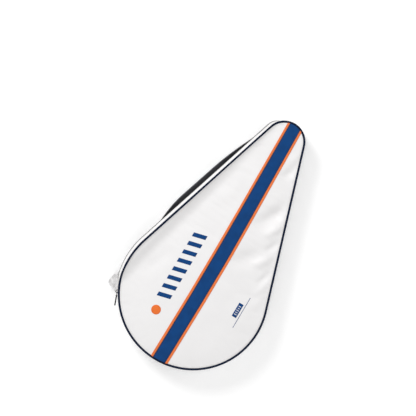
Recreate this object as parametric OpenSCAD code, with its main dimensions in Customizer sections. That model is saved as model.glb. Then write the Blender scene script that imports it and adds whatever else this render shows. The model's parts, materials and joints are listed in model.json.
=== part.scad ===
// Padded teardrop case for one court paddle.
// It lies on its back panel: +Y runs from the round head to the narrow tip, +Z is up,
// and the origin is the centre of the head on the back panel's outer face.
// The zip runs round the left flank. It is open, with the slider parked at its lower end.

/* [Outline] */
// Radius of the round head, to the middle of the piping
head_r = 152; // [130:1:170]
// Radius of the tip, to the middle of the piping
tip_r = 41; // [34:1:55]
// Distance between the head's centre and the tip's centre
axis_len = 364; // [320:1:420]

/* [Panels] */
// Depth of the closed case over both panels
case_depth = 50; // [44:1:64]
// Thickness of the coated outer skin
skin_t = 1; // [0.8:0.1:1.4]
// Thickness of the foam in a panel
foam_t = 3.2; // [2.5:0.1:4.5]
// Thickness of the cloth lining in a panel
lining_t = 0.8; // [0.5:0.1:1.2]
// Thickness of the side wall between the panels
gusset_t = 1.4; // [1:0.1:1.8]
// Diameter of the piping round each panel
piping_d = 4.4; // [3.6:0.1:4.6]
// Height of the seam binding inside each corner
binding_h = 6; // [4:0.5:9]

/* [Zip] */
// Angle round the head where the zip begins
zip_start = 212; // [210:0.5:216]
// Angle round the tip where the zip ends
zip_end = 110; // [104:1:112]
// Angle round the head where the front lip begins to lift
lip_start = 206.5; // [204:0.5:207]
// Angle round the tip where the front lip ends
lip_end = 117; // [114:1:122]
// Angle round the head where the slider is parked
slider_at = 208.5; // [208.5:0.1:209]
// Gap between the two rows of coil when the zip is closed
coil_gap = 1.2; // [1:0.1:1.6]
// Length of the puller's wire link, inside
link_len = 8; // [7:0.5:10]
// Length of the puller's tab
tab_len = 20; // [16:1:26]

/* [Opening] */
// How far the front lip is lifted at rest
front_lift = 25; // [8:1:28]
// How far the back lip leans outwards at rest
back_splay = 62; // [40:1:64]

/* [Trim] */
// Width of the blue band of the stripe
band_w = 27.6; // [20:0.2:34]
// Width of each orange edge of the stripe
edge_w = 5.2; // [3:0.2:8]
// Distance of the stripe from the case's centre line
stripe_x = 7.4; // [0:0.2:10]
// Number of printed slanted bars
bar_count = 8; // [3:1:9]
// Thickness of the printed and welded trim
print_t = 0.4; // [0.3:0.1:0.8]

/* [Hidden] */

head_c = [0, 0];
tip_c = [0, axis_len];
panel_t = skin_t + foam_t + lining_t;
piping_r = piping_d / 2;
piping_z = panel_t / 2;
mid_z = case_depth / 2;
arc_step = 6;
tube_gap = 0.05;

// The flanks are straight and touch both circles; this is the angle of the left flank's outward normal.
flank_a = 180 - asin((head_r - tip_r) / axis_len);
flank_len = sqrt(pow(axis_len, 2) - pow(head_r - tip_r, 2));

// How far inside the outline each layer of the side begins and ends.
panel_in = piping_r + 0.1;
foam_in = panel_in + 1;
gusset_in = gusset_t;
lining_in = gusset_t + 0.7;
binding_in = lining_in + 1;
tape_out = gusset_t + 0.45;
tape_in = tape_out + 0.6;
coil_out = tape_out - 1.5;

// Heights of the layers of the side: the wall fits between the two rows of piping.
wall_low = piping_z + piping_r + 0.2;
wall_high = case_depth - wall_low;
strip_edge = 4.8;
tape_edge = coil_gap / 2 + 0.2;
tape_h = 7;
coil_h = 2;

// Clearances of the parts that move.
hinge_gap = 0.3;
lip_end_gap = 2;
back_lip_margin = 7;
head_margin_a = 1;
tip_margin_a = 3;

function polar(c, r, a) = [c[0] + r * cos(a), c[1] + r * sin(a)];
function arc(c, r, a0, a1) =
    let (n = ceil(abs(a1 - a0) / arc_step))
    [for (i = [0:n]) polar(c, r, a0 + (a1 - a0) * i / n)];
function reversed(list) = [for (i = [len(list) - 1:-1:0]) list[i]];

// Left side of the outline from angle a0 on the head up to angle a1 on the tip, inset by d.
function left_side(d, a0, a1) =
    concat(arc(head_c, head_r - d, a0, flank_a), arc(tip_c, tip_r - d, flank_a, a1));

// The rest of the outline, from angle a1 on the tip round the right side to angle a0 on the head.
function right_side(d, a0, a1) =
    concat(arc(tip_c, tip_r - d, a1, 180 - flank_a), arc(head_c, head_r - d, 180 - flank_a, a0 - 360));

function lip_path(d) = left_side(d, lip_start, lip_end);
function main_path(d) = right_side(d, lip_start, lip_end);
function closed_path(d) = right_side(d, zip_start, zip_end);
function arc_path(d, c, r, a0, a1) = arc(c, r - d, a0, a1);

// The lip path without a little at each end, where the zip meets its fixed ends.
lip_cut_head = lip_end_gap / head_r * 180 / PI;
lip_cut_tip = lip_end_gap / tip_r * 180 / PI;
function short_lip_path(d) = left_side(d, lip_start - lip_cut_head, lip_end + lip_cut_tip);

// The front lip hinges on the straight line between the ends of its path, at the top face.
lip_from = polar(head_c, head_r - panel_in, lip_start);
lip_to = polar(tip_c, tip_r - panel_in, lip_end);
chord_a = atan2(lip_to[1] - lip_from[1], lip_to[0] - lip_from[0]);

// The back lip hinges along the flank, just above the back piping.
back_hinge_z = wall_low + 0.2;

module plate(points, z0, z1) {
    translate([0, 0, z0]) linear_extrude(z1 - z0) polygon(points);
}

module wall(outer, inner, z0, z1) {
    plate(concat(outer, reversed(inner)), z0, z1);
}

module tube_arc(c, r, a0, a1, z) {
    translate([c[0], c[1], z])
        rotate([0, 0, a0])
            rotate_extrude(angle = a1 - a0, $fn = 96) translate([r, 0]) circle(d = piping_d, $fn = 24);
}

// The straight tubes stop a hair short of the bent ones, so that each stays a true cylinder.
module tube_flank(side_a, z) {
    start = side_a > 90 ? polar(head_c, head_r, side_a) : polar(tip_c, tip_r, side_a);
    translate([start[0], start[1], z])
        rotate([0, 0, side_a])
            translate([0, -tube_gap, 0])
                rotate([90, 0, 0]) cylinder(d = piping_d, h = flank_len - 2 * tube_gap, $fn = 24);
}

module print() {
    translate([0, 0, case_depth]) linear_extrude(print_t) children();
}

// Turns a part drawn with the zip closed to where the lifted front lip rests.
module lifted() {
    translate([lip_from[0], lip_from[1], case_depth])
        rotate([0, 0, chord_a])
            rotate([front_lift, 0, 0])
                translate([0, hinge_gap, 0])
                    rotate([0, 0, -chord_a])
                        translate([-lip_from[0], -lip_from[1], -case_depth])
                            children();
}

// Frame of the left flank: X runs along it towards the tip, Y points out of the case.
module on_flank() {
    start = polar(head_c, head_r, flank_a);
    translate([start[0], start[1], 0]) rotate([0, 0, flank_a - 90]) children();
}

// A straight bar of the back lip, between two insets and two heights, leaning out.
module back_lip_bar(d0, d1, z0, z1) {
    on_flank()
        translate([back_lip_margin, 0, back_hinge_z])
            rotate([-back_splay, 0, 0])
                translate([0, -d1, z0 - back_hinge_z])
                    cube([flank_len - 2 * back_lip_margin, d1 - d0, z1 - z0]);
}

// The stretches of the zip that don't move: both ends, and the back half along head and tip.
module fixed_zip(d0, d1, low0, low1) {
    high0 = case_depth - low1;
    high1 = case_depth - low0;
    head_end = flank_a + head_margin_a;
    tip_end = flank_a - tip_margin_a;
    wall(arc_path(d0, head_c, head_r, zip_start, head_end),
         arc_path(d1, head_c, head_r, zip_start, head_end), low0, low1);
    wall(arc_path(d0, tip_c, tip_r, tip_end, zip_end),
         arc_path(d1, tip_c, tip_r, tip_end, zip_end), low0, low1);
    wall(arc_path(d0, head_c, head_r, zip_start, lip_start + lip_cut_head),
         arc_path(d1, head_c, head_r, zip_start, lip_start + lip_cut_head), high0, high1);
    wall(arc_path(d0, tip_c, tip_r, lip_end - lip_cut_tip, zip_end),
         arc_path(d1, tip_c, tip_r, lip_end - lip_cut_tip, zip_end), high0, high1);
}

// Back panel

module back_cover() {
    color("white") plate(concat(lip_path(panel_in), main_path(panel_in)), 0, skin_t);
}

module back_foam() {
    color("lightyellow")
        plate(concat(lip_path(foam_in), main_path(foam_in)), skin_t, skin_t + foam_t);
}

module back_lining() {
    color("dimgray") plate(concat(lip_path(panel_in), main_path(panel_in)), skin_t + foam_t, panel_t);
}

module back_piping() {
    color("midnightblue") {
        tube_arc(head_c, head_r, flank_a, 540 - flank_a, piping_z);
        tube_flank(flank_a, piping_z);
        tube_flank(180 - flank_a, piping_z);
        tube_arc(tip_c, tip_r, 180 - flank_a, flank_a, piping_z);
    }
}

module back_binding() {
    color("navy") wall(closed_path(lining_in), closed_path(binding_in), panel_t, panel_t + binding_h);
}

// Front panel, up to the line where the lip hinges

module front_cover() {
    color("white") plate(main_path(panel_in), case_depth - skin_t, case_depth);
}

module front_foam() {
    color("lightyellow")
        plate(main_path(foam_in), case_depth - skin_t - foam_t, case_depth - skin_t);
}

module front_lining() {
    color("dimgray") plate(main_path(panel_in), case_depth - panel_t, case_depth - skin_t - foam_t);
}

module front_piping() {
    z = case_depth - piping_z;
    color("midnightblue") {
        tube_arc(head_c, head_r, lip_start - 360, 180 - flank_a, z);
        tube_flank(180 - flank_a, z);
        tube_arc(tip_c, tip_r, 180 - flank_a, lip_end, z);
    }
}

module front_binding() {
    z = case_depth - panel_t;
    color("navy") wall(closed_path(lining_in), closed_path(binding_in), z - binding_h, z);
}

// Side

module gusset_wall() {
    color("white") wall(closed_path(0), closed_path(gusset_in), wall_low, wall_high);
}

module gusset_lining() {
    color("dimgray") wall(closed_path(gusset_in), closed_path(lining_in), panel_t, case_depth - panel_t);
}

// The fold of slack side cloth that the parked slider pushes out above itself: how far it stands out,
// and the angle round the head.
fold_outer = [[2.5, 191], [11, 195], [20, 199], [21, 202], [14, 206], [4, 207.5]];
fold_inner = [[0.5, 206], [0.5, 199], [0.5, 193]];
fold_h = 9;

module gusset_fold() {
    low = wall_low + 0.1;
    color("whitesmoke")
        plate([for (p = concat(fold_outer, fold_inner)) polar(head_c, head_r + p[0], p[1])],
              low, low + fold_h);
}

// Stripe and printed trim

module stripe(x0, x1) {
    print()
        intersection() {
            polygon(main_path(panel_in + 0.4));
            translate([stripe_x + x0, -head_r]) square([x1 - x0, axis_len + head_r + tip_r]);
        }
}

module stripe_band() {
    color("royalblue") stripe(-band_w / 2, band_w / 2);
}

module stripe_edge_left() {
    color("darkorange") stripe(-band_w / 2 - edge_w, -band_w / 2);
}

module stripe_edge_right() {
    color("darkorange") stripe(band_w / 2, band_w / 2 + edge_w);
}

// Printed marks, by their middles
bar_h = 28;
bar_w = 9;
bar_slant = 7;
bar_pitch = 20;
bars_x = -50;
bars_y = -38;
ball_r = 10;
ball_y = -64;
label_x = 93.8;
label_y = 19.6;
label_size = [10, 31];
rule_x = 103.2;
rule_size = [1.4, 71];

module print_bars() {
    color("royalblue")
        print()
            for (i = [0:bar_count - 1])
                translate([bars_x, bars_y + i * bar_pitch])
                    polygon([[-bar_h / 2, 0], [bar_h / 2, bar_slant],
                             [bar_h / 2, bar_slant + bar_w], [-bar_h / 2, bar_w]]);
}

module print_ball() {
    color("darkorange") print() translate([bars_x, ball_y]) circle(r = ball_r, $fn = 64);
}

module label_patch() {
    color("royalblue") print() translate([label_x, label_y]) square(label_size, center = true);
}

module label_rule() {
    color("royalblue") print() translate([rule_x, label_y]) square(rule_size, center = true);
}

// Fixed ends of the zip

module zip_strip_fixed() {
    color("white") fixed_zip(0, gusset_in, back_hinge_z, mid_z - strip_edge);
}

module zip_tape_fixed() {
    color("gray") fixed_zip(tape_out, tape_in, mid_z - tape_edge - tape_h, mid_z - tape_edge);
}

module zip_coil_fixed() {
    z = mid_z - coil_gap / 2;
    color("black") fixed_zip(coil_out, tape_out, z - coil_h, z);
}

// Cloth tabs over both ends of the zip, laid on the side wall.
tab_in = 0.1;
tab_out = 1.4;
tab_half = 11;
head_tab = [zip_start - 0.6, zip_start + 4.5];
tip_tab = [zip_end + 1, zip_end - 14];

module end_tab(c, r, span) {
    wall(arc(c, r + tab_out, span[0], span[1]), arc(c, r + tab_in, span[0], span[1]),
         mid_z - tab_half, mid_z + tab_half);
}

module zip_end_tabs() {
    color("white") {
        end_tab(head_c, head_r, head_tab);
        end_tab(tip_c, tip_r, tip_tab);
    }
}

// A zip stop: a small metal clamp that fills the gap between the rows of coil.
stop_len = 2.4;

module zip_stop(c, r, a) {
    translate([c[0], c[1], mid_z])
        rotate([0, 0, a])
            translate([r - tape_out, -stop_len / 2, -coil_gap / 2])
                cube([tape_out, stop_len, coil_gap]);
}

module zip_bottom_stop() {
    color("silver") zip_stop(head_c, head_r, zip_start - 0.6);
}

module zip_top_stop() {
    color("silver") zip_stop(tip_c, tip_r, zip_end + 2.5);
}

// Front lip: the strip of the front panel along the zip, drawn closed and then lifted

module lip_cover() {
    color("white") lifted() plate(lip_path(panel_in), case_depth - skin_t, case_depth);
}

module lip_foam() {
    color("lightyellow")
        lifted() plate(short_lip_path(foam_in), case_depth - skin_t - foam_t, case_depth - skin_t);
}

module lip_lining() {
    color("dimgray")
        lifted() plate(short_lip_path(panel_in), case_depth - panel_t, case_depth - skin_t - foam_t);
}

module lip_piping() {
    z = case_depth - piping_z;
    color("midnightblue")
        lifted() {
            tube_arc(head_c, head_r, flank_a, lip_start - lip_cut_head, z);
            tube_flank(flank_a, z);
            tube_arc(tip_c, tip_r, lip_end + lip_cut_tip, flank_a, z);
        }
}

module lip_binding() {
    z = case_depth - panel_t;
    color("navy") lifted() wall(short_lip_path(lining_in), short_lip_path(binding_in), z - binding_h, z);
}

module lip_zip_strip() {
    color("white") lifted() wall(short_lip_path(0), short_lip_path(gusset_in), mid_z + strip_edge, wall_high);
}

module lip_zip_tape() {
    z = mid_z + tape_edge;
    color("gray") lifted() wall(short_lip_path(tape_out), short_lip_path(tape_in), z, z + tape_h);
}

module lip_zip_coil() {
    z = mid_z + coil_gap / 2;
    color("black") lifted() wall(short_lip_path(coil_out), short_lip_path(tape_out), z, z + coil_h);
}

// Back lip: the back half of the zip along the flank, leaning outwards

module back_zip_strip() {
    color("white") back_lip_bar(0, gusset_in, back_hinge_z, mid_z - strip_edge);
}

module back_zip_tape() {
    z = mid_z - tape_edge;
    color("gray") back_lip_bar(tape_out, tape_in, z - tape_h, z);
}

module back_zip_coil() {
    z = mid_z - coil_gap / 2;
    color("black") back_lip_bar(coil_out, tape_out, z - coil_h, z);
}

// Slider and puller. Frame: X points out of the case, Y runs along the zip away from the opening.
slider_half = 4.5;
slider_h = 8.4;
plate_t = 1.2;
flange_t = 0.9;
bail_r = 2.9;
bail_leg = 3.4;
bail_d = 1.5;
wire_d = 1.2;
link_h = 4.3;
link_x = plate_t + bail_leg + 0.15;
link_y = 1;
puller_out = 7.4;

module on_slider() {
    rotate([0, 0, slider_at]) translate([head_r, 0, mid_z]) children();
}

// Frame of the puller: Y runs along it, away from the bail.
module on_puller() {
    on_slider() translate([link_x, link_y, 0]) rotate([0, 0, -puller_out]) children();
}

// Two plates, flanges along their edges, and a post between the rows of coil.
module slider_body() {
    inner = tape_in + 0.45;
    flange = tape_out - 0.35;
    post_t = coil_gap - 0.4;
    color("dimgray")
        on_slider() {
            for (x = [0, -inner - plate_t])
                translate([x, -slider_half, -slider_h / 2]) cube([plate_t, 2 * slider_half, slider_h]);
            for (s = [-1, 1])
                translate([-flange, -slider_half, s * (slider_h - flange_t) / 2 - flange_t / 2])
                    cube([flange, 2 * slider_half, flange_t]);
            translate([-inner, -slider_half, -post_t / 2]) cube([inner, 2, post_t]);
        }
}

module slider_bail() {
    color("dimgray")
        on_slider() {
            for (s = [-1, 1])
                translate([plate_t, s * bail_r, 0])
                    rotate([0, 90, 0]) cylinder(d = bail_d, h = bail_leg, $fn = 24);
            translate([plate_t + bail_leg, 0, 0])
                rotate([0, 0, -90])
                    rotate_extrude(angle = 180, $fn = 48) translate([bail_r, 0]) circle(d = bail_d, $fn = 24);
        }
}

module puller_link() {
    bar_len = link_h + wire_d;
    color("silver")
        on_puller() {
            for (y = [0, link_len])
                translate([0, y, -bar_len / 2]) cylinder(d = wire_d, h = bar_len, $fn = 24);
            for (s = [-1, 1])
                translate([-wire_d / 2, 0, s * link_h / 2 - wire_d / 2]) cube([wire_d, link_len, wire_d]);
        }
}

module puller_tab() {
    eye_d = 3.6;
    eye_h = 2.8;
    neck = 3.5;
    tab_h = 6.4;
    tab_t = 2.4;
    round_y = tab_len + 0.5 - tab_h / 2;
    color("black")
        on_puller()
            translate([0, link_len, 0]) {
                difference() {
                    union() {
                        translate([0, 0, -eye_h / 2]) cylinder(d = eye_d, h = eye_h, $fn = 32);
                        translate([-tab_t / 2, 0, -eye_h / 2]) cube([tab_t, neck, eye_h]);
                    }
                    translate([0, 0, -eye_h]) cylinder(d = wire_d + 0.6, h = 2 * eye_h, $fn = 32);
                }
                translate([-tab_t / 2, neck, -tab_h / 2]) cube([tab_t, round_y - neck, tab_h]);
                translate([-tab_t / 2, round_y, 0])
                    rotate([0, 90, 0]) cylinder(d = tab_h, h = tab_t, $fn = 32);
            }
}

back_cover();
back_foam();
back_lining();
back_piping();
back_binding();
front_cover();
front_foam();
front_lining();
front_piping();
front_binding();
gusset_wall();
gusset_lining();
gusset_fold();
stripe_band();
stripe_edge_left();
stripe_edge_right();
print_bars();
print_ball();
label_patch();
label_rule();
zip_strip_fixed();
zip_tape_fixed();
zip_coil_fixed();
zip_end_tabs();
zip_bottom_stop();
zip_top_stop();
lip_cover();
lip_foam();
lip_lining();
lip_piping();
lip_binding();
lip_zip_strip();
lip_zip_tape();
lip_zip_coil();
back_zip_strip();
back_zip_tape();
back_zip_coil();
slider_body();
slider_bail();
puller_link();
puller_tab();
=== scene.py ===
"""Looks of the paddle case: skins, piping, zip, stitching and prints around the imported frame.

Lengths are in metres.
"""

import json
import math

import bpy
import numpy as np
from mathutils import Matrix, Vector, noise
from mathutils.bvhtree import BVHTree
from mathutils.geometry import delaunay_2d_cdt


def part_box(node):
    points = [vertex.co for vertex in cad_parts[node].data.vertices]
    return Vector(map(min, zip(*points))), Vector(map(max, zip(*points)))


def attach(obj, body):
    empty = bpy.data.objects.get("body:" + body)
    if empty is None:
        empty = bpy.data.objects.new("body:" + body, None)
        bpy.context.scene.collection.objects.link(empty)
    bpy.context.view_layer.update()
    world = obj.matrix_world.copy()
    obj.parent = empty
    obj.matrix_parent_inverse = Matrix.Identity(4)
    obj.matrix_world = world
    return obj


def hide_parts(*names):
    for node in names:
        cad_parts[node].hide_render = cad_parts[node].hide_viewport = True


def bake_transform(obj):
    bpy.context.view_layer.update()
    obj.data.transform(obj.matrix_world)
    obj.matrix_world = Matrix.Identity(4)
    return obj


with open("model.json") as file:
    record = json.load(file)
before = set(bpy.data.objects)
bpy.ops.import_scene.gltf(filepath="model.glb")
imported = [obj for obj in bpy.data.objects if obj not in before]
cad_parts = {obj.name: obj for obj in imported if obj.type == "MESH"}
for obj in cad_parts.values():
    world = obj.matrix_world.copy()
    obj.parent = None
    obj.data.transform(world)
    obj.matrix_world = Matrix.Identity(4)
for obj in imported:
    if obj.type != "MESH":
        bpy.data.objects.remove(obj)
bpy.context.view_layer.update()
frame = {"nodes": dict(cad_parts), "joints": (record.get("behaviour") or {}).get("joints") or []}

# ---------------------------------------------------------------- sizes, from the frame

MM = 0.001
PIPING_R = 2.2 * MM
TIP_R = 41 * MM
seam_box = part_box("back_piping")
HEAD_R = seam_box[1].x - PIPING_R
AXIS_LEN = seam_box[1].y - PIPING_R - TIP_R
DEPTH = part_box("front_cover")[1].z
PANEL_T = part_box("back_lining")[1].z
SEAM_Z = PANEL_T / 2
FRONT_SEAM_Z = DEPTH - SEAM_Z
MID_Z = DEPTH / 2
PANEL_EDGE = 2.0 * MM

# The zip's lower end, as an angle round the head, and its upper end, round the tip.
ZIP_START = 212
ZIP_END = 110
FLANK_A = 180 - math.degrees(math.asin((HEAD_R - TIP_R) / AXIS_LEN))
FLANK_LEN = math.sqrt(AXIS_LEN**2 - (HEAD_R - TIP_R) ** 2)

joints = {j["name"]: j for j in frame["joints"]}

# ---------------------------------------------------------------- camera and light

VIEW_TURN = math.radians(30.74)
VIEW_WIDTH = 848.6 * MM
VIEW_CENTRE = Vector((-64.8 * MM, 168.0 * MM, DEPTH))
CAMERA_HEIGHT = 3.2
SENSOR = 36
WORLD_LIGHT = 0.53
# Each lamp's name, place, width and power.
LAMPS = (
    ("key", (-1.7, 0.85, 1.35), 1.1, 29),
    ("fill", (1.3, 0.9, 1.7), 2.0, 13),
    ("front", (0.2, -1.6, 1.9), 1.8, 11),
)


def make_camera():
    """A long lens straight above the case, turned so that the case lies as it does in the picture."""
    data = bpy.data.cameras.new("camera")
    data.sensor_width = SENSOR
    data.lens = SENSOR * CAMERA_HEIGHT / VIEW_WIDTH
    data.clip_end = 20
    camera = bpy.data.objects.new("camera", data)
    bpy.context.scene.collection.objects.link(camera)
    above = Matrix.Translation(VIEW_CENTRE + Vector((0, 0, CAMERA_HEIGHT)))
    camera.matrix_world = above @ Matrix.Rotation(VIEW_TURN, 4, "Z")
    bpy.context.scene.camera = camera


def area_light(name, place, size, power):
    data = bpy.data.lights.new(name, "AREA")
    data.shape = "DISK"
    data.size = size
    data.energy = power
    light = bpy.data.objects.new(name, data)
    bpy.context.scene.collection.objects.link(light)
    light.location = place
    light.rotation_euler = (VIEW_CENTRE - Vector(place)).to_track_quat("-Z", "Y").to_euler()


def make_lights():
    bpy.context.scene.view_settings.view_transform = "Standard"
    world = bpy.data.worlds.new("studio")
    world.use_nodes = True
    background = world.node_tree.nodes["Background"]
    background.inputs["Color"].default_value = (1.0, 1.0, 1.0, 1)
    background.inputs["Strength"].default_value = WORLD_LIGHT
    bpy.context.scene.world = world
    for lamp in LAMPS:
        area_light(*lamp)


# ---------------------------------------------------------------- materials


def node_of(tree, kind, **values):
    node = tree.nodes.new(kind)
    for key, value in values.items():
        setattr(node, key, value)
    return node


def coordinates(tree):
    return node_of(tree, "ShaderNodeTexCoord").outputs["Object"]


def noise_of(tree, where, size, detail=3.0):
    node = node_of(tree, "ShaderNodeTexNoise")
    node.inputs["Scale"].default_value = 1 / size
    node.inputs["Detail"].default_value = detail
    tree.links.new(where, node.inputs["Vector"])
    return node.outputs["Fac"]


def cells_of(tree, where, size):
    node = node_of(tree, "ShaderNodeTexVoronoi", feature="SMOOTH_F1")
    node.inputs["Scale"].default_value = 1 / size
    tree.links.new(where, node.inputs["Vector"])
    return node.outputs["Distance"]


def threads_of(tree, where, size, axis):
    node = node_of(tree, "ShaderNodeTexWave", wave_type="BANDS", bands_direction=axis, wave_profile="SIN")
    node.inputs["Scale"].default_value = 0.314 / size
    node.inputs["Distortion"].default_value = 0.6
    node.inputs["Detail"].default_value = 1.0
    tree.links.new(where, node.inputs["Vector"])
    return node.outputs["Fac"]


def maths(tree, operation, a, b):
    node = node_of(tree, "ShaderNodeMath", operation=operation)
    for socket, value in zip(node.inputs, (a, b)):
        if isinstance(value, (int, float)):
            socket.default_value = value
        else:
            tree.links.new(value, socket)
    return node.outputs[0]


def between(tree, fac, low, high):
    node = node_of(tree, "ShaderNodeMapRange")
    node.inputs["To Min"].default_value = low
    node.inputs["To Max"].default_value = high
    tree.links.new(fac, node.inputs["Value"])
    return node.outputs["Result"]


def ramp_of(tree, fac, low, high):
    node = node_of(tree, "ShaderNodeValToRGB")
    node.color_ramp.elements[0].position = 0.3
    node.color_ramp.elements[1].position = 0.7
    node.color_ramp.elements[0].color = (*low, 1)
    node.color_ramp.elements[1].color = (*high, 1)
    tree.links.new(fac, node.inputs["Fac"])
    return node.outputs["Color"]


MATERIALS = {}


def shade(colour, share):
    return tuple(c * share for c in colour)


def finish_material(name, colour, height, vary, rough, spread=0.93, bump=0.4, depth=0.12 * MM, **shader):
    """Adds a material: patches of the size vary that go down to spread times the colour, and a bump."""
    mat = bpy.data.materials.new(name)
    mat.use_nodes = True
    tree = mat.node_tree
    bsdf = tree.nodes["Principled BSDF"]
    where = coordinates(tree)
    patches = noise_of(tree, where, vary)
    tree.links.new(ramp_of(tree, patches, shade(colour, spread), colour), bsdf.inputs["Base Color"])
    tree.links.new(between(tree, patches, *rough), bsdf.inputs["Roughness"])
    bumper = node_of(tree, "ShaderNodeBump")
    bumper.inputs["Strength"].default_value = bump
    bumper.inputs["Distance"].default_value = depth
    tree.links.new(height(tree, where), bumper.inputs["Height"])
    tree.links.new(bumper.outputs["Normal"], bsdf.inputs["Normal"])
    for socket, value in shader.items():
        bsdf.inputs[socket.replace("_", " ")].default_value = value
    MATERIALS[name] = mat


def grain(size):
    """Pebbled coated cloth: rounded cells with a finer noise on top."""

    def height(tree, where):
        cells = cells_of(tree, where, size)
        return maths(tree, "ADD", cells, maths(tree, "MULTIPLY", noise_of(tree, where, size / 4), 0.5))

    return height


def weave(size, first="X", second="Y"):
    """Two sets of threads that cross."""

    def height(tree, where):
        a = threads_of(tree, where, size, first)
        b = threads_of(tree, where, size, second)
        return maths(tree, "MAXIMUM", maths(tree, "MULTIPLY", a, 0.9), b)

    return height


def fine(size):
    """Even fine noise, for thread, coil, moulded plastic, metal and the floor."""

    def height(tree, where):
        return noise_of(tree, where, size, 5.0)

    return height


def creases(size):
    """Sharp folds in thin cloth: ridges between stretched cells."""

    def height(tree, where):
        node = node_of(tree, "ShaderNodeTexVoronoi", feature="DISTANCE_TO_EDGE")
        node.inputs["Scale"].default_value = 1 / size
        tree.links.new(where, node.inputs["Vector"])
        return maths(tree, "MINIMUM", node.outputs["Distance"], 0.25)

    return height


WHITE = (0.80, 0.79, 0.79)
NAVY = (0.003, 0.010, 0.034)
BLUE = (0.001, 0.05, 0.195)
ORANGE = (0.83, 0.19, 0.045)
FLOOR_GLOW = {"Emission_Color": (1, 1, 1, 1), "Emission_Strength": 0.12}

SKIN_GRAIN = 1.1 * MM
STRIPE_GRAIN = 0.9 * MM
THREAD_GRAIN = 0.25 * MM

finish_material("skin", WHITE, grain(SKIN_GRAIN), 45 * MM, (0.42, 0.52), spread=0.975, bump=0.35)
finish_material("side", WHITE, grain(SKIN_GRAIN), 30 * MM, (0.45, 0.55), spread=0.97, bump=0.4)
finish_material(
    "lining", (0.075, 0.075, 0.085), weave(0.9 * MM), 14 * MM, (0.82, 0.95),
    spread=0.7, bump=0.7, Sheen_Weight=0.3,
)
finish_material(
    "piping", NAVY, grain(0.8 * MM), 12 * MM, (0.5, 0.6),
    spread=0.75, bump=0.4, Specular_IOR_Level=0.1,
)
finish_material(
    "binding", (0.012, 0.016, 0.04), weave(0.8 * MM, "Y", "Z"), 10 * MM, (0.7, 0.85),
    spread=0.7, bump=0.8, Sheen_Weight=0.2,
)
finish_material(
    "blue", BLUE, grain(STRIPE_GRAIN), 16 * MM, (0.5, 0.6),
    spread=0.8, bump=0.6, Specular_IOR_Level=0.15,
)
# Dark navy for the thin strips laid along both borders of the blue band.
finish_material(
    "seam", (0.004, 0.016, 0.055), grain(STRIPE_GRAIN), 8 * MM, (0.55, 0.65),
    spread=0.8, bump=0.4,
)
finish_material(
    "orange", ORANGE, grain(STRIPE_GRAIN), 25 * MM, (0.45, 0.56),
    spread=0.9, bump=0.4, Specular_IOR_Level=0.3,
)
finish_material(
    "ink_blue", BLUE, grain(SKIN_GRAIN), 8 * MM, (0.4, 0.5),
    spread=0.85, bump=0.25, Specular_IOR_Level=0.15,
)
finish_material(
    "ink_orange", (0.8, 0.17, 0.03), grain(SKIN_GRAIN), 8 * MM, (0.4, 0.5),
    spread=0.9, bump=0.25, Specular_IOR_Level=0.2,
)
finish_material(
    "ink_white", (0.7, 0.72, 0.75), grain(SKIN_GRAIN), 3 * MM, (0.4, 0.5),
    spread=0.85, bump=0.25,
)
finish_material(
    "tape", (0.085, 0.085, 0.1), weave(0.7 * MM, "Y", "Z"), 9 * MM, (0.75, 0.9),
    spread=0.75, bump=0.8, Sheen_Weight=0.2,
)
finish_material("coil", (0.03, 0.03, 0.036), fine(0.5 * MM), 6 * MM, (0.28, 0.4), spread=0.8, bump=0.15)
finish_material("thread_white", (0.78, 0.77, 0.72), fine(THREAD_GRAIN), 9 * MM, (0.6, 0.75))
finish_material("thread_orange", (0.7, 0.15, 0.03), fine(THREAD_GRAIN), 9 * MM, (0.6, 0.75))
finish_material(
    "alloy", (0.55, 0.55, 0.57), fine(0.4 * MM), 3 * MM, (0.3, 0.45),
    spread=0.9, bump=0.15, Metallic=1.0,
)
finish_material(
    "enamel", (0.006, 0.007, 0.009), fine(0.6 * MM), 4 * MM, (0.3, 0.42),
    spread=0.8, bump=0.15, Specular_IOR_Level=0.35,
)
finish_material(
    "wire", (0.05, 0.052, 0.055), fine(0.3 * MM), 3 * MM, (0.3, 0.45),
    spread=0.8, bump=0.15, Metallic=1.0,
)
finish_material(
    "rubber", (0.006, 0.007, 0.007), fine(0.4 * MM), 5 * MM, (0.5, 0.65),
    spread=0.8, bump=0.3, Specular_IOR_Level=0.12,
)
# The fold's cloth: the skin's white with small darker patches, down to 0.8 of it, that are painted shade
# standing in for the shade in its creases.
finish_material(
    "creased", WHITE, creases(6.5 * MM), 5 * MM, (0.45, 0.6),
    spread=0.8, bump=0.45, depth=0.9 * MM,
)
finish_material(
    "floor", (0.94, 0.94, 0.94), fine(3 * MM), 400 * MM, (0.6, 0.7),
    spread=0.99, bump=0.02, **FLOOR_GLOW,
)

# ---------------------------------------------------------------- the outline

HEAD_ARC = HEAD_R * math.radians(ZIP_START - FLANK_A)
TIP_ARC = TIP_R * math.radians(2 * FLANK_A - 180)
FAR_ARC = HEAD_R * math.radians(180 - FLANK_A + 360 - ZIP_START)
MARKS = np.cumsum([0, HEAD_ARC, FLANK_LEN, TIP_ARC, FLANK_LEN, FAR_ARC])
LOOP = MARKS[-1]
ZIP_LEN = MARKS[2] + TIP_R * math.radians(FLANK_A - ZIP_END)


def unit(degrees):
    """The directions that lie at these angles."""
    return np.stack([np.cos(np.radians(degrees)), np.sin(np.radians(degrees))], -1)


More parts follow.
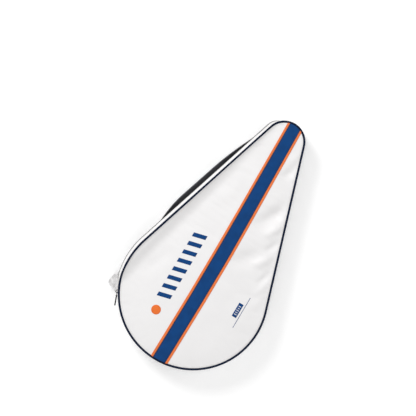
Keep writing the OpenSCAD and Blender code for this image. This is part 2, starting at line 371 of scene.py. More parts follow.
def stations(q):
    """Points and outward normals of the outline, q metres from the zip's lower end, up the zip's side."""
    q = np.mod(np.asarray(q, float), LOOP)
    left, right = FLANK_A, 180 - FLANK_A
    angle = np.select(
        [q < MARKS[1], q < MARKS[2], q < MARKS[3], q < MARKS[4]],
        [
            ZIP_START - np.degrees(q / HEAD_R),
            np.full_like(q, left),
            left - np.degrees((q - MARKS[2]) / TIP_R),
            np.full_like(q, right),
        ],
        right - np.degrees((q - MARKS[4]) / HEAD_R),
    )
    n = unit(angle)
    past_left = (q >= MARKS[2]) & (q < MARKS[4])
    on_left = (q >= MARKS[1]) & (q < MARKS[2])
    on_right = (q >= MARKS[3]) & (q < MARKS[4])
    centre = np.where(past_left, AXIS_LEN, 0.0)
    r = np.where(past_left, TIP_R, HEAD_R)
    run = np.select([on_left, on_right], [q - MARKS[1], q - MARKS[3]], 0.0)
    ahead = np.stack([n[:, 1], -n[:, 0]], -1)
    points = n * r[:, None] + ahead * run[:, None]
    points[:, 1] += centre
    return points, n


def inset_of(x, y):
    """How far inside the outline the points are."""
    y = np.asarray(y, float)
    x = np.abs(np.asarray(x, float))
    n = unit(180 - FLANK_A)
    along = -x * n[1] + y * n[0]
    flank = HEAD_R - (x * n[0] + y * n[1])
    head = HEAD_R - np.hypot(x, y)
    tip = TIP_R - np.hypot(x, y - AXIS_LEN)
    return np.where(along < 0, head, np.where(along > FLANK_LEN, tip, flank))


def steps(q0, q1, step):
    """Stations from q0 to q1, about a step apart."""
    return np.linspace(q0, q1, max(2, round((q1 - q0) / step)) + 1)


# ---------------------------------------------------------------- bending


REST_ROUNDS = 14


class Bend:
    """Turns closed shapes to rest about one joint, with weights that run from start to end."""

    def __init__(self, joint, bodies, start, end, moved_first=False):
        spec = joints[joint]
        self.at = np.array(spec["pos_m"])
        self.axis = np.array(spec["axis"], float)
        self.angle = -math.radians(spec["range_deg"][0])
        self.bodies = bodies
        self.start = np.array([*start, MID_Z])
        self.end = np.array([*end, MID_Z])
        self.moved_first = moved_first

    def share(self, points):
        way = self.end - self.start
        t = np.clip(((points - self.start) @ way) / (way @ way), 0, 1)
        w = t * t * (3 - 2 * t)
        return 1 - w if self.moved_first else w

    def turned(self, points, angle):
        p = points - self.at
        c, s = np.cos(angle)[:, None], np.sin(angle)[:, None]
        along = (p @ self.axis)[:, None] * self.axis
        return self.at + p * c + np.cross(self.axis, p) * s + along * (1 - c)

    def rest(self, closed):
        """Where closed points lie at rest. Their weights are the resting points', found by repeating."""
        points = closed
        for _ in range(REST_ROUNDS):
            points = self.turned(closed, self.share(points) * self.angle)
        return points

    def apply(self, piece):
        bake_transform(piece)


hinge = joints["front_lip_fold"]
lip_out = np.array([-hinge["axis"][1], hinge["axis"][0]])
lip_at = np.array(hinge["pos_m"][:2])
LIP_START = -3 * MM
LIP_END = 28 * MM
FRONT = Bend(
    "front_lip_fold",
    ("case", "front_lip"),
    lip_at + LIP_START * lip_out,
    lip_at + LIP_END * lip_out,
)

flank_hinge = joints["back_lip_fold"]
flank_way = -np.array(flank_hinge["axis"][:2])
flank_at = np.array(flank_hinge["pos_m"][:2])
LOW_START = 2 * MM
LOW_END = 120 * MM
HIGH_START = 0.58 * FLANK_LEN
HIGH_END = 1.13 * FLANK_LEN
BACK_LOW = Bend(
    "back_lip_fold",
    ("case", "back_lip"),
    flank_at + LOW_START * flank_way,
    flank_at + LOW_END * flank_way,
)
BACK_HIGH = Bend(
    "back_lip_fold",
    ("back_lip", "case"),
    flank_at + HIGH_START * flank_way,
    flank_at + HIGH_END * flank_way,
    moved_first=True,
)
BACK_SPLIT = MARKS[1] + 0.46 * FLANK_LEN

# ---------------------------------------------------------------- mesh helpers


def build(name, verts, faces, material, slot, bend=None, replaces=()):
    """A piece from closed-shape points: bent to rest when it has a bend, given its material, and, when not
    bent, tied to the case's body.
    """
    verts = np.asarray(verts, float)
    if bend:
        verts = bend.rest(verts)
    mesh = bpy.data.meshes.new(name)
    mesh.from_pydata(verts.tolist(), [], [list(map(int, f)) for f in faces])
    mesh.validate()
    mesh.materials.append(MATERIALS[material])
    mesh.polygons.foreach_set("use_smooth", [True] * len(mesh.polygons))
    piece = bpy.data.objects.new(name, mesh)
    bpy.context.scene.collection.objects.link(piece)
    if bend:
        bend.apply(piece)
    else:
        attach(piece, "case")
    if replaces:
        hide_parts(*replaces)
    return piece


def grid_faces(rows, columns, ring=False, loop=False):
    faces = []
    for i in range(rows if loop else rows - 1):
        a, b = i * columns, (i + 1) % rows * columns
        for j in range(columns if ring else columns - 1):
            k = (j + 1) % columns
            faces.append((a + j, b + j, b + k, a + k))
    return faces


def sweep(q, out, z, loop=False):
    """A closed section, out metres beyond the outline and at height z, carried along the stations q."""
    points, normals = stations(q)
    rows, columns = len(q), out.shape[1]
    verts = np.empty((rows, columns, 3))
    verts[:, :, :2] = points[:, None] + normals[:, None] * out[:, :, None]
    verts[:, :, 2] = z
    faces = grid_faces(rows, columns, ring=True, loop=loop)
    if not loop:
        faces.append(tuple(range(columns)))
        faces.append(tuple((rows - 1) * columns + j for j in reversed(range(columns))))
    return verts.reshape(-1, 3), faces


def tube(path, radius, sides, loop=False):
    """A round tube along a path, with frames carried along it. radius is a number or one for each point."""
    path = np.asarray(path, float)
    ahead = np.roll(path, -1, 0) - np.roll(path, 1, 0)
    if not loop:
        ahead[0] = path[1] - path[0]
        ahead[-1] = path[-1] - path[-2]
    ahead /= np.linalg.norm(ahead, axis=1)[:, None]
    side = np.cross(ahead, (0.0, 0.0, 1.0))
    side /= np.maximum(np.linalg.norm(side, axis=1), 1e-9)[:, None]
    up = np.cross(side, ahead)
    turn = np.linspace(0, 2 * math.pi, sides, endpoint=False)
    r = np.broadcast_to(np.asarray(radius, float), (len(path),))[:, None, None]
    ring = np.cos(turn)[None, :, None] * side[:, None] + np.sin(turn)[None, :, None] * up[:, None]
    verts = (path[:, None] + r * ring).reshape(-1, 3)
    faces = grid_faces(len(path), sides, ring=True, loop=loop)
    if not loop:
        faces.append(tuple(range(sides)))
        faces.append(tuple((len(path) - 1) * sides + j for j in reversed(range(sides))))
    return verts, faces


def joined(parts):
    """Several (verts, faces) as one."""
    verts, faces, count = [], [], 0
    for v, f in parts:
        verts.append(np.asarray(v, float))
        faces += [tuple(i + count for i in face) for face in f]
        count += len(v)
    return np.concatenate(verts), faces


STITCH_PITCH = 3.6 * MM
STITCH_LEN = 2.9 * MM
THREAD_R = 0.28 * MM


def stitch_row(path, normals):
    """Separate short stitches along a path, each sunk at both ends. normals point out of the cloth."""
    path, normals = np.asarray(path, float), np.asarray(normals, float)
    gone = np.concatenate([[0], np.cumsum(np.linalg.norm(np.diff(path, axis=0), axis=1))])
    centres = np.arange(STITCH_PITCH / 2, gone[-1], STITCH_PITCH)
    profile = ((-0.5, -0.9, 0.5), (-0.3, 0.35, 1), (0.3, 0.35, 1), (0.5, -0.9, 0.5))
    sides = 5
    turn = np.linspace(0, 2 * math.pi, sides, endpoint=False)
    at = np.stack([np.interp(centres, gone, path[:, k]) for k in range(3)], -1)
    up = np.stack([np.interp(centres, gone, normals[:, k]) for k in range(3)], -1)
    up /= np.linalg.norm(up, axis=1)[:, None]
    after = np.stack([np.interp(centres + 0.5 * MM, gone, path[:, k]) for k in range(3)], -1)
    before = np.stack([np.interp(centres - 0.5 * MM, gone, path[:, k]) for k in range(3)], -1)
    ahead = after - before
    ahead /= np.linalg.norm(ahead, axis=1)[:, None]
    side = np.cross(ahead, up)
    parts = np.empty((len(centres), len(profile), sides, 3))
    for i, (run, lift, size) in enumerate(profile):
        core = at + ahead * run * STITCH_LEN + up * lift * THREAD_R
        for j, a in enumerate(turn):
            parts[:, i, j] = core + THREAD_R * size * (math.cos(a) * side + math.sin(a) * up)
    one = grid_faces(len(profile), sides, ring=True)
    one += [tuple(range(sides)), tuple((len(profile) - 1) * sides + j for j in reversed(range(sides)))]
    size = len(profile) * sides
    faces = [tuple(i + k * size for i in face) for k in range(len(centres)) for face in one]
    return parts.reshape(-1, 3), faces


def side_row(q, out, z):
    """A stitch row on a side wall, along the stations q."""
    points, normals = stations(q)
    path = np.column_stack([points + normals * out, np.broadcast_to(z, len(q))])
    return stitch_row(path, np.column_stack([normals, np.zeros(len(q))]))


def ripple(q, row, size, seed):
    """Smooth noise between -1 and 1 along a strip, the same on every run."""
    return np.array([[noise.noise((a / size, b * 1.3, seed)) for b in row] for a in q])


# ---------------------------------------------------------------- panels

SKIN_STEP = 4.8 * MM
CROWN = 8.0 * MM
SKIN_RISE = 0.6 * MM
LINING_NEAR = 0.15 * MM
LINING_FAR = 0.75 * MM
EDGE_RINGS = (0, 1.6, 3.6, 6.4, 10.0)


def panel_mesh():
    """Flat triangles that fill the outline: rings along the edge, then an even lattice."""
    q = np.linspace(0, LOOP, round(LOOP / SKIN_STEP), endpoint=False)
    points, normals = stations(q)
    rings = [points - normals * (PANEL_EDGE + d * MM) for d in EDGE_RINGS]
    verts = list(np.concatenate(rings))
    last = PANEL_EDGE + (EDGE_RINGS[-1] + 4.2) * MM
    row_h = SKIN_STEP * math.sqrt(3) / 2
    rows = np.arange(-HEAD_R, AXIS_LEN + TIP_R, row_h)
    for i, y in enumerate(rows):
        x = np.arange(-HEAD_R, HEAD_R, SKIN_STEP) + (i % 2) * SKIN_STEP / 2
        verts += [(a, y) for a in x[inset_of(x, np.full(len(x), y)) > last]]
    edges = [
        (k * len(q) + i, k * len(q) + (i + 1) % len(q)) for k in range(len(rings)) for i in range(len(q))
    ]
    flat, _, faces, _, _, _ = delaunay_2d_cdt([Vector(v) for v in verts], edges, [], 1, 1e-7)
    return np.array([tuple(v) for v in flat]), faces, len(q)


def crown_by_cloth(flat, faces, rim):
    """The skin swells over its foam: a sheet held at the seam and pushed from below."""
    mesh = bpy.data.meshes.new("swell")
    mesh.from_pydata([(x, y, 0) for x, y in flat], [], faces)
    sheet = bpy.data.objects.new("swell", mesh)
    bpy.context.scene.collection.objects.link(sheet)
    group = sheet.vertex_groups.new(name="seam")
    group.add(list(range(rim)), 1.0, "REPLACE")
    cloth = sheet.modifiers.new("cloth", "CLOTH")
    cloth.settings.quality = 5
    cloth.settings.mass = 0.4
    cloth.settings.tension_stiffness = 40
    cloth.settings.compression_stiffness = 40
    cloth.settings.shear_stiffness = 15
    cloth.settings.bending_stiffness = 2.0
    cloth.settings.vertex_group_mass = "seam"
    cloth.settings.shrink_min = -0.004
    cloth.settings.use_pressure = True
    cloth.settings.uniform_pressure_force = 5
    cloth.settings.effector_weights.gravity = 0
    cloth.collision_settings.use_self_collision = False
    scene = bpy.context.scene
    for number in range(1, 25):
        scene.frame_set(number)
    seen = sheet.evaluated_get(bpy.context.evaluated_depsgraph_get())
    rise = np.array([v.co.z for v in seen.data.vertices])
    scene.frame_set(1)
    bpy.data.objects.remove(sheet)
    if rise.mean() < 0:
        rise = -rise
    return rise


# Soft creases of the front skin: from, to, height (below zero for a trough) and half width, in millimetres.
CREASES = (
    ((32, 178), (80, 266), -8.0, 13.5),
    ((58, 170), (92, 234), 4.5, 8),
    ((78, 146), (104, 200), -5.2, 7),
    ((70, 108), (102, 160), 4.2, 9),
    ((98, 82), (114, 132), -4.0, 6),
    ((104, 60), (120, 108), 2.6, 6),
    ((26, 92), (80, 150), -5.5, 15),
    ((28, 292), (60, 346), -5.6, 10),
    ((24, 326), (52, 372), 3.4, 9),
    ((110, 24), (126, 88), 1.4, 8),
    ((-62, 170), (-30, 262), 1.2, 12),
    ((-118, -20), (-84, 62), -2.4, 13),
)


def crease_height(x, y):
    """Creases are highest or deepest in the middle of their length."""
    total = np.zeros_like(x)
    for start, end, height, half in CREASES:
        a, b = np.array(start) * MM, np.array(end) * MM
        way = b - a
        t = np.clip(((x - a[0]) * way[0] + (y - a[1]) * way[1]) / (way @ way), 0, 1)
        off = ((x - a[0]) * -way[1] + (y - a[1]) * way[0]) / np.linalg.norm(way)
        off += 3 * MM * np.sin(math.pi * t)
        total += height * MM * np.exp(-((off / (half * MM)) ** 2)) * np.sin(math.pi * t) ** 1.2
    return total


def waviness(x, y, size, seed):
    """Smooth noise between -1 and 1 over the panel, the same on every run."""
    return np.array([noise.noise((a / size, b / size, seed)) for a, b in zip(x, y)])


flat, panel_faces, rim = panel_mesh()
panel_inset = inset_of(flat[:, 0], flat[:, 1]) - PANEL_EDGE
deep = np.clip(panel_inset / (30 * MM), 0, 1)
rise = crown_by_cloth(flat, panel_faces, rim)
rise *= CROWN / max(rise.max(), CROWN)
front_z = (
    FRONT_SEAM_Z
    + SKIN_RISE
    + rise
    + crease_height(flat[:, 0], flat[:, 1]) * np.clip(panel_inset / (14 * MM), 0, 1)
    + 0.45 * MM * deep * waviness(flat[:, 0], flat[:, 1], 70 * MM, 3.0)
)


def slab(top_z, bottom_z):
    """A closed piece between two heights over the flat panel mesh."""
    count = len(flat)
    verts = np.concatenate([np.column_stack([flat, top_z]), np.column_stack([flat, bottom_z])])
    top = [tuple(f) for f in panel_faces]
    area = sum(
        (flat[f[1]][0] - flat[f[0]][0]) * (flat[f[2]][1] - flat[f[0]][1])
        - (flat[f[2]][0] - flat[f[0]][0]) * (flat[f[1]][1] - flat[f[0]][1])
        for f in top[:50]
    )
    if area < 0:
        top = [tuple(reversed(f)) for f in top]
    bottom = [tuple(count + i for i in reversed(f)) for f in top]
    border = [(i, (i + 1) % rim, count + (i + 1) % rim, count + i) for i in range(rim)]
    return verts, top + bottom + border


def smoothed(piece):
    modifier = piece.modifiers.new("round", "SUBSURF")
    modifier.levels = 1
    modifier.render_levels = 1
    return piece


thickness = np.minimum(4.2 * MM, 1.4 * MM + panel_inset * 0.5)
front_panel = smoothed(
    build(
        "front_panel",
        *slab(front_z, front_z - thickness),
        "skin",
        "white_skin",
        bend=FRONT,
        replaces=("front_cover", "front_foam", "lip_cover", "lip_foam"),
    )
)

front_lining = build(
    "front_lining_cloth",
    *slab(front_z - thickness - LINING_NEAR, front_z - thickness - LINING_FAR),
    "lining",
    "lining",
    bend=FRONT,
    replaces=("front_lining", "lip_lining"),
)
AREA_STEP = 2 * MM
area_q = np.arange(0, LOOP, AREA_STEP)
corner, _ = stations(area_q)
after, _ = stations(area_q + AREA_STEP)

under = np.where(panel_inset < 6 * MM, (1 - panel_inset / (6 * MM)) ** 2 * 1.4 * MM, 0)
back_waves = 0.3 * MM * waviness(flat[:, 0], flat[:, 1], 60 * MM, 9.0)
back_top = PANEL_T - 0.9 * MM - 1.2 * MM * (1 - deep) + back_waves
back_panel = smoothed(
    build("back_panel", *slab(back_top, under), "skin", "white_skin", replaces=("back_cover", "back_foam"))
)
back_lining = build(
    "back_lining_cloth",
    *slab(back_top + LINING_FAR, back_top + LINING_NEAR),
    "lining",
    "lining",
    replaces=("back_lining",),
)

surface = BVHTree.FromPolygons(np.column_stack([flat, front_z]).tolist(), [list(f) for f in panel_faces])


def top_at(x, y):
    """Height of the front skin, zipped shut."""
    hit = surface.ray_cast(Vector((x, y, 1)), Vector((0, 0, -1)))[0]
    return hit.z if hit else FRONT_SEAM_Z + SKIN_RISE


# ---------------------------------------------------------------- piping


def piping(name, z, nodes, bend):
    """A round cord along the outline, its thickness not quite even."""
    q = np.linspace(0, LOOP, round(LOOP / (2.6 * MM)), endpoint=False)
    points, _ = stations(q)
    wobble = 0.06 * MM * np.array([noise.noise((a * 60, 0, z * 100)) for a in q])
    path = np.column_stack([points, np.full(len(q), z)])
    radius = PIPING_R * (1 + 0.025 * np.sin(q * 900)) + wobble
    build(name, *tube(path, radius, 14, loop=True), "piping", "piping", bend=bend, replaces=nodes)


piping("front_piping_cord", FRONT_SEAM_Z, ("front_piping", "lip_piping"), FRONT)
piping("back_piping_cord", SEAM_Z + 0.1 * MM, ("back_piping",), None)

# ---------------------------------------------------------------- side wall and zip strips

WALL_T = 1.3 * MM
WALL_LOW = SEAM_Z + 1.2 * MM
WALL_HIGH = DEPTH - WALL_LOW
STRIP_EDGE = 4.8 * MM


def cloth_strip(q, low, high, rows, bulge, seed, out=0.0, thick=WALL_T):
    """A strip of cloth on edge along the outline, with a soft bulge and slight waves."""
    share = np.linspace(0, 1, rows)
    wave = ripple(q, share, 26 * MM, seed) * 0.35 * MM + ripple(q, share * 2, 9 * MM, seed + 5) * 0.1 * MM
    swell = bulge * np.sin(math.pi * share)[None, :] + wave * np.sin(math.pi * share)[None, :]
    outer = out + swell
    inner = outer - thick
    z = low + (high - low) * share
    out = np.concatenate([outer, inner[:, ::-1]], 1)
    return out, np.concatenate([z, z[::-1]])[None, :].repeat(len(q), 0)


q_wall = steps(ZIP_LEN, LOOP, 3.2 * MM)
wall = build(
    "side_wall",
    *sweep(q_wall, *cloth_strip(q_wall, WALL_LOW, WALL_HIGH, 15, 1.5 * MM, 2.0)),
    "side",
    "side_skin",
    replaces=("gusset_wall",),
)

ZIP_STEP = 2.6 * MM
q_zip = steps(0, ZIP_LEN, ZIP_STEP)
front_strip = build(
    "front_strip",
    *sweep(q_zip, *cloth_strip(q_zip, MID_Z + STRIP_EDGE, WALL_HIGH, 9, 0.5 * MM, 4.0)),
    "side",
    "side_skin",
    bend=FRONT,
    replaces=("lip_zip_strip",),
)

BACK_HALVES = (
    ("low", steps(0, BACK_SPLIT, ZIP_STEP), BACK_LOW),
    ("high", steps(BACK_SPLIT, ZIP_LEN, ZIP_STEP), BACK_HIGH),
)
for half, q, bend in BACK_HALVES:
    strip = build(
        f"back_strip_{half}",
        *sweep(q, *cloth_strip(q, WALL_LOW, MID_Z - STRIP_EDGE, 9, 0.4 * MM, 6.0)),
        "side",
        "side_skin",
        bend=bend,
        replaces=("back_zip_strip", "zip_strip_fixed"),
    )

# ---------------------------------------------------------------- zip

TAPE_OUT = -1.75 * MM
TAPE_T = 0.6 * MM
TAPE_H = 11.5 * MM
COIL_GAP = 0.5 * MM
COIL_PITCH = 1.5 * MM
COIL_TURN_POINTS = 9


def tape_strip(q, z_edge, up):
    """Zip tape that starts at the height z_edge and runs up or down from it."""
    low, high = (z_edge, z_edge + TAPE_H) if up else (z_edge - TAPE_H, z_edge)
    return sweep(q, *cloth_strip(q, low, high, 5, 0.0, 8.0, TAPE_OUT, TAPE_T))


def coil(q0, q1, z):
    """A row of nylon coil: an oval helix of monofilament along the tape's edge."""
    turns = round((q1 - q0) / COIL_PITCH)
    t = np.linspace(0, turns, turns * COIL_TURN_POINTS + 1)
    q = q0 + (q1 - q0) * t / turns
    points, normals = stations(q)
    out = -0.85 * MM + 0.75 * MM * np.cos(2 * math.pi * t)
    height = z + 0.85 * MM * np.sin(2 * math.pi * t)
    return tube(np.column_stack([points + normals * out[:, None], height]), 0.36 * MM, 5)


front_coil_z = MID_Z + COIL_GAP + 1.15 * MM
back_coil_z = MID_Z - COIL_GAP - 1.15 * MM
front_tape = build(
    "front_tape",
    *tape_strip(q_zip, MID_Z + COIL_GAP, True),
    "tape",
    "zip_tape",
    bend=FRONT,
    replaces=("lip_zip_tape",),
)
build(
    "front_coil",
    *coil(0, ZIP_LEN, front_coil_z),
    "coil",
    "zip_coil",
    bend=FRONT,
    replaces=("lip_zip_coil",),
)
for half, q, bend in BACK_HALVES:
    tape = build(
        f"back_tape_{half}",
        *tape_strip(q, MID_Z - COIL_GAP, False),
        "tape",
        "zip_tape",
        bend=bend,
        replaces=("back_zip_tape", "zip_tape_fixed"),
    )
    build(
        f"back_coil_{half}",
        *coil(q[0], q[-1], back_coil_z),
        "coil",
        "zip_coil",
        bend=bend,
        replaces=("back_zip_coil", "zip_coil_fixed"),
    )

# ---------------------------------------------------------------- binding inside the front corner

BINDING_CORNER = ((-2.7, -9.0), (-2.8, -6.4), (-3.0, -4.4), (-4.0, -3.2), (-5.8, -2.9), (-8.4, -2.7))
BINDING_PATH = np.array(BINDING_CORNER) * MM
BINDING_T = 0.9 * MM


def binding_section(q, z):
    """Tape folded into the corner between a panel and the side wall."""
    way = np.gradient(BINDING_PATH, axis=0)
    side = np.column_stack([-way[:, 1], way[:, 0]]) / np.linalg.norm(way, axis=1)[:, None] * BINDING_T
    section = np.concatenate([BINDING_PATH, (BINDING_PATH + side)[::-1]])
    out = section[:, 0][None, :] + 0.15 * MM * ripple(q, section[:, 1] / (4 * MM), 8 * MM, 11.0)
    return out, z + section[:, 1][None, :].repeat(len(q), 0)


q_loop = np.linspace(0, LOOP, round(LOOP / (4 * MM)), endpoint=False)
binding = build(
    "front_binding_tape",
    *sweep(q_loop, *binding_section(q_loop, FRONT_SEAM_Z), loop=True),
    "binding",
    "binding",
    bend=FRONT,
    replaces=("front_binding", "lip_binding"),
)

# ---------------------------------------------------------------- slack fold above the slider

# Its two ends, as angles round the head.
FOLD_FROM = 190.5
FOLD_TO = 207.5
FOLD_HEIGHT = 10.2 * MM
FOLD_REACH = 25.5 * MM


def slack_fold():
    """A lobe of side cloth pushed out by the slider, with pleats that fan out from the slider."""
    rows, columns = 64, 36
    t = np.linspace(0, 1, rows)
    q = HEAD_R * np.radians(ZIP_START - (FOLD_FROM + (FOLD_TO - FOLD_FROM) * t))
    reach = FOLD_REACH * (0.06 + 0.94 * np.maximum(np.sin(math.pi * t**1.7), 0) ** 0.7)
    half = np.interp(t, (0, 0.3, 0.7, 1), (2.0, 3.2, 3.6, 2.2)) * MM
    turn = np.linspace(0, 2 * math.pi, columns, endpoint=False)
    rise = 0.5 - 0.5 * np.cos(turn)
    out = reach[:, None] * rise[None, :] - 0.5 * MM
    z = FOLD_HEIGHT - 0.15 * out + half[:, None] * (np.sin(turn) * (1 - 0.45 * rise))[None, :]
    for i in range(rows):
        for j in range(columns):
            back = q[i] - q[-1] + 2 * MM
            away = max(0.0, out[i, j])
            free = min(1.0, away / (7 * MM))
            here = Vector((q[i] / (14 * MM), out[i, j] / (11 * MM), 0.3))
            fan = math.atan2(away, back) / math.pi
            pleat = math.sin(2 * math.pi * (3.4 * fan + 0.45 * noise.noise(here)))
            z[i, j] += free * MM * (2.1 * pleat + 1.8 * noise.noise(2.3 * here))
            out[i, j] += free * MM * (0.9 * pleat + 1.6 * noise.noise(1.7 * here))
    return sweep(q, out, z)


# The fold's cloth carries painted crease shade as darker colour patches.
fold = smoothed(build("slack_fold", *slack_fold(), "creased", "side_skin", replaces=("gusset_fold",)))

# ---------------------------------------------------------------- stripe

STRIPE_Y = np.array([-150, 0, 100, 200, 300, 405]) * MM
STRIPE_X = np.array([7.6, 9.4, 9.3, 7.7, 5.5, 3.4]) * MM
BAND_ROWS = 150
BAND_EDGE_DROP = 0.22 * MM
BAND_SINK = 0.25 * MM


def stripe_middle(y):
    """The stripe wanders a little: its middle for each y."""
    return np.interp(y, STRIPE_Y, STRIPE_X)


def stripe_scale(y):
    """It narrows a little towards the tip."""
    return np.interp(y, np.array([-150, 100, 405]) * MM, (1.0, 1.0, 0.9))


def ends_of(u, inset):
    """Lowest and highest y, inset from the outline, of the line u to the right of the stripe's middle."""
    low_x = stripe_middle(-HEAD_R) + u * stripe_scale(-HEAD_R)
    high_x = stripe_middle(AXIS_LEN + TIP_R) + u * stripe_scale(AXIS_LEN + TIP_R)
    low = -math.sqrt((HEAD_R - inset) ** 2 - low_x**2)
    high = AXIS_LEN + math.sqrt((TIP_R - inset) ** 2 - high_x**2)
    return low, high


def band(u0, u1, columns, lift):
    """A strip sewn on the front skin, between two distances from the stripe's middle."""
    share = 0.5 - 0.5 * np.cos(np.linspace(0, math.pi, BAND_ROWS))
    top = np.empty((BAND_ROWS, columns, 3))
    for j, u in enumerate(np.linspace(u0, u1, columns)):
        low, high = ends_of(u, 1.6 * MM)
        y = low + (high - low) * share
        x = stripe_middle(y) + u * stripe_scale(y)
        drop = 0.0 if 0 < j < columns - 1 else BAND_EDGE_DROP
        top[:, j] = [(a, b, top_at(a, b) + lift - drop) for a, b in zip(x, y)]
    under = top[:, ::-1].copy()
    under[:, :, 2] -= lift + BAND_SINK
    around = 2 * columns
    faces = grid_faces(BAND_ROWS, around, ring=True)
    faces.append(tuple(range(around)))
    faces.append(tuple((BAND_ROWS - 1) * around + j for j in reversed(range(around))))
    return np.concatenate([top, under], 1).reshape(-1, 3), faces


band_box, edge_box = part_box("stripe_band"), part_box("stripe_edge_left")
BAND_HALF = (band_box[1].x - band_box[0].x) / 2
EDGE_W = edge_box[1].x - edge_box[0].x
BLUE_HALF = BAND_HALF + 0.8 * MM
EDGE_END = BAND_HALF + EDGE_W
BANDS = (
    ("stripe_blue_band", -BLUE_HALF, BLUE_HALF, 9, 0.35, "blue", "stripe_blue", "stripe_band"),
    ("stripe_orange_left", -EDGE_END, -BAND_HALF, 5, 0.75, "orange", "stripe_orange", "stripe_edge_left"),
    ("stripe_orange_right", BAND_HALF, EDGE_END, 5, 0.75, "orange", "stripe_orange", "stripe_edge_right"),
)
for name, u0, u1, columns, lift, material, slot, node in BANDS:
    build(name, *band(u0, u1, columns, lift * MM), material, slot, replaces=(node,))

# A thin dark navy strip along each border of the blue band, laid a little above the bands beside it.
for side, name in ((-1, "left"), (1, "right")):
    u0, u1 = sorted((side * (BAND_HALF - 1.1 * MM), side * (BAND_HALF + 0.2 * MM)))
    build(f"stripe_dark_line_{name}", *band(u0, u1, 3, 0.85 * MM), "seam", "stripe_blue")


def stripe_row(u, lift):
    """A stitch row that follows the stripe, u to the right of its middle."""
    y = np.linspace(*ends_of(u, 4 * MM), 240)
    x = stripe_middle(y) + u * stripe_scale(y)
    z = [top_at(a, b) + lift for a, b in zip(x, y)]
    return stitch_row(np.column_stack([x, y, z]), np.tile((0.0, 0.0, 1.0), (len(y), 1)))


stripe_rows = [stripe_row(s * (BAND_HALF + u * MM), 0.7 * MM) for s in (-1, 1) for u in (1.1, 4.1)]
build("stripe_stitches", *joined(stripe_rows), "thread_orange", "stripe_orange")

# ---------------------------------------------------------------- prints

INK = 0.12 * MM


def printed(outline_xy, rings=3):
    """A film of ink inside a convex outline, laid on the front skin."""
    outline_xy = np.asarray(outline_xy, float)
    middle = outline_xy.mean(0)
    verts = [(*middle, top_at(*middle) + INK)]
    for k in range(1, rings + 1):
        for x, y in middle + (outline_xy - middle) * k / rings:
            verts.append((x, y, top_at(x, y) + INK))
    for x, y in outline_xy:
        verts.append((x, y, top_at(x, y) - INK))
    count = len(outline_xy)
    faces = [(0, 1 + i, 1 + (i + 1) % count) for i in range(count)]
    for k in range(rings):
        for i in range(count):
            a, b = 1 + k * count, 1 + (k + 1) * count
            j = (i + 1) % count
            faces.append((a + i, b + i, b + j, a + j))
    return np.array(verts), faces


def rectangle(x0, y0, x1, y1):
    return [(x0, y0), (x1, y0), (x1, y1), (x0, y1)]


def side_points(corners, step=3 * MM):
    """Points along the sides of a polygon."""
    corners = np.asarray(corners, float)
    points = []
    for a, b in zip(corners, np.roll(corners, -1, 0)):
        count = max(1, round(np.linalg.norm(b - a) / step))
        points += [a + (b - a) * i / count for i in range(count)]
    return points


bars_low, bars_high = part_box("print_bars")
BAR_COUNT = 8
BAR_W = 9 * MM
BAR_SLANT = 7 * MM
bar_pitch = (bars_high.y - bars_low.y - BAR_W - BAR_SLANT) / (BAR_COUNT - 1)
bars = []
for i in range(BAR_COUNT):
    y = bars_low.y + i * bar_pitch
    left, right = bars_low.x, bars_high.x
    corners = [(left, y), (right, y + BAR_SLANT), (right, y + BAR_SLANT + BAR_W), (left, y + BAR_W)]
    bars.append(printed(side_points(corners)))
build("bars_ink", *joined(bars), "ink_blue", "print_blue", replaces=("print_bars",))

ball_low, ball_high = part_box("print_ball")
ball_r = (ball_high.x - ball_low.x) / 2
ball_at = np.array([ball_low.x + ball_r, ball_low.y + ball_r])
ball_edge = ball_at + ball_r * unit(np.arange(0, 360, 7.5))
build("ball_ink", *printed(ball_edge, 5), "ink_orange", "print_orange", replaces=("print_ball",))

label_low, label_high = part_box("label_patch")
label_edge = side_points(rectangle(label_low.x, label_low.y, label_high.x, label_high.y), 2 * MM)
build("label_ink", *printed(label_edge), "ink_blue", "print_blue", replaces=("label_patch",))

rule_low, rule_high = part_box("label_rule")
DASH = 1.7 * MM
dashes = []
for y in np.arange(rule_low.y, rule_high.y - DASH, 1.3 * DASH):
    dashes.append(printed(rectangle(rule_low.x, y, rule_high.x, y + DASH), 1))
build("rule_ink", *joined(dashes), "ink_blue", "print_blue", replaces=("label_rule",))

# Small light strokes across the label.
STROKE_LENGTHS = (6.2, 5.0, 6.2, 4.4, 5.6)
STROKE_FIRST = 5.2 * MM
STROKE_PITCH = 4.6 * MM
STROKE_W = 1.6 * MM
strokes = []
for k, length in enumerate(STROKE_LENGTHS):
    y = label_low.y + STROKE_FIRST + STROKE_PITCH * k
    x = (label_low.x + label_high.x) / 2
    half = length * MM / 2
    verts, faces = printed(rectangle(x - half, y, x + half, y + STROKE_W), 2)
    strokes.append((verts + (0, 0, 0.1 * MM), faces))
build("label_strokes", *joined(strokes), "ink_white", "print_blue")

# ---------------------------------------------------------------- stitching

RIM_IN = 5.4 * MM
BACK_RIM_IN = 4.4 * MM
STRIPE_CLEAR = 1.5 * MM
ROW_OFFSETS = (1.4 * MM, 4.4 * MM)
WALL_ROW_IN = 4.4 * MM
UP = (0.0, 0.0, 1.0)
DOWN = (0.0, 0.0, -1.0)


def sewn(name, rows, slot, bend=None):
    """Rows of white thread as one piece."""
    build(name, *joined(rows), "thread_white", slot, bend=bend)


edge_points, edge_normals = stations(np.linspace(0, LOOP, 700))
inner = edge_points - edge_normals * RIM_IN
rim_path = np.column_stack([inner, [top_at(x, y) + 0.05 * MM for x, y in inner]])
beside = np.abs(inner[:, 0] - stripe_middle(inner[:, 1])) > EDGE_END + STRIPE_CLEAR
breaks = np.flatnonzero(np.diff(beside.astype(int))) + 1
runs = [run for run in np.split(np.arange(len(inner)), breaks) if beside[run[0]] and len(run) > 2]
rim_rows = [stitch_row(rim_path[run], np.tile(UP, (len(run), 1))) for run in runs]
sewn("front_rim_stitches", rim_rows, "white_skin", FRONT)

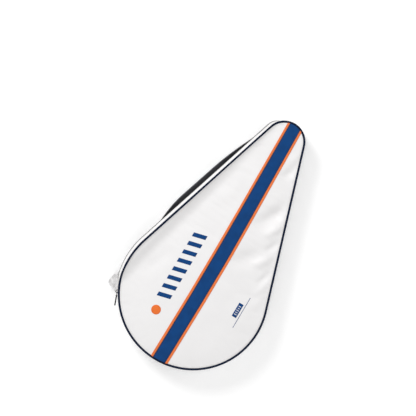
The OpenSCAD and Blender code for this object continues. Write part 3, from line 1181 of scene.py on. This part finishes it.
strip_rows = [side_row(q_zip[1:-1], 0.35 * MM, MID_Z + STRIP_EDGE + d) for d in ROW_OFFSETS]
sewn("front_strip_stitches", strip_rows, "side_skin", FRONT)
for half, q, bend in BACK_HALVES:
    strip_rows = [side_row(q[1:-1], 0.3 * MM, MID_Z - STRIP_EDGE - d) for d in ROW_OFFSETS]
    sewn(f"back_strip_stitches_{half}", strip_rows, "side_skin", bend)
wall_heights = (WALL_LOW + WALL_ROW_IN, WALL_HIGH - WALL_ROW_IN)
sewn("wall_stitches", [side_row(q_wall[2:-2], 0.95 * MM, z) for z in wall_heights], "side_skin")

back_rim = np.column_stack([edge_points - edge_normals * BACK_RIM_IN, np.full(len(inner), 0.5 * MM)])
sewn("back_rim_stitches", [stitch_row(back_rim, np.tile(DOWN, (len(inner), 1)))], "white_skin")

TAB_OUT = 1.42 * MM
TAB_ROW = 8.5 * MM
head_tab = -HEAD_R * np.radians(np.linspace(0.4, 3.6, 12))[::-1]
tip_tab = ZIP_LEN + TIP_R * np.radians(np.linspace(0.5, 12.5, 12))
tab_heights = (MID_Z - TAB_ROW, MID_Z + TAB_ROW)
tab_rows = [side_row(tab, TAB_OUT, z) for tab in (head_tab, tip_tab) for z in tab_heights]
for at in (head_tab[0], tip_tab[-1]):
    spot, way = stations([at])
    z = np.linspace(MID_Z - TAB_ROW, MID_Z + TAB_ROW, 8)
    line = np.column_stack([np.tile(spot + way * TAB_OUT, (8, 1)), z])
    tab_rows.append(stitch_row(line, np.tile((*way[0], 0.0), (8, 1))))
sewn("tab_stitches", tab_rows, "side_skin")

# ---------------------------------------------------------------- CAD pieces that stay

KEPT = {
    "back_binding": "binding",
    "gusset_lining": "lining",
    "zip_end_tabs": "side",
    "zip_bottom_stop": "alloy",
    "zip_top_stop": "alloy",
    "slider_body": "enamel",
    "slider_bail": "enamel",
    "puller_link": "wire",
    "puller_tab": "rubber",
}
for name, material in KEPT.items():
    piece = frame["nodes"][name]
    piece.data.materials.clear()
    piece.data.materials.append(MATERIALS[material])

# ---------------------------------------------------------------- floor


FLOOR_HALF = 4.0
# Just under the case, so that the two never share a plane.
FLOOR_Z = -0.3 * MM


def make_floor():
    mesh = bpy.data.meshes.new("floor")
    corners = rectangle(-FLOOR_HALF, -FLOOR_HALF, FLOOR_HALF, FLOOR_HALF)
    mesh.from_pydata([(x, y, FLOOR_Z) for x, y in corners], [], [(0, 1, 2, 3)])
    mesh.materials.append(MATERIALS["floor"])
    floor = bpy.data.objects.new("floor", mesh)
    bpy.context.scene.collection.objects.link(floor)


make_camera()
make_lights()
make_floor()
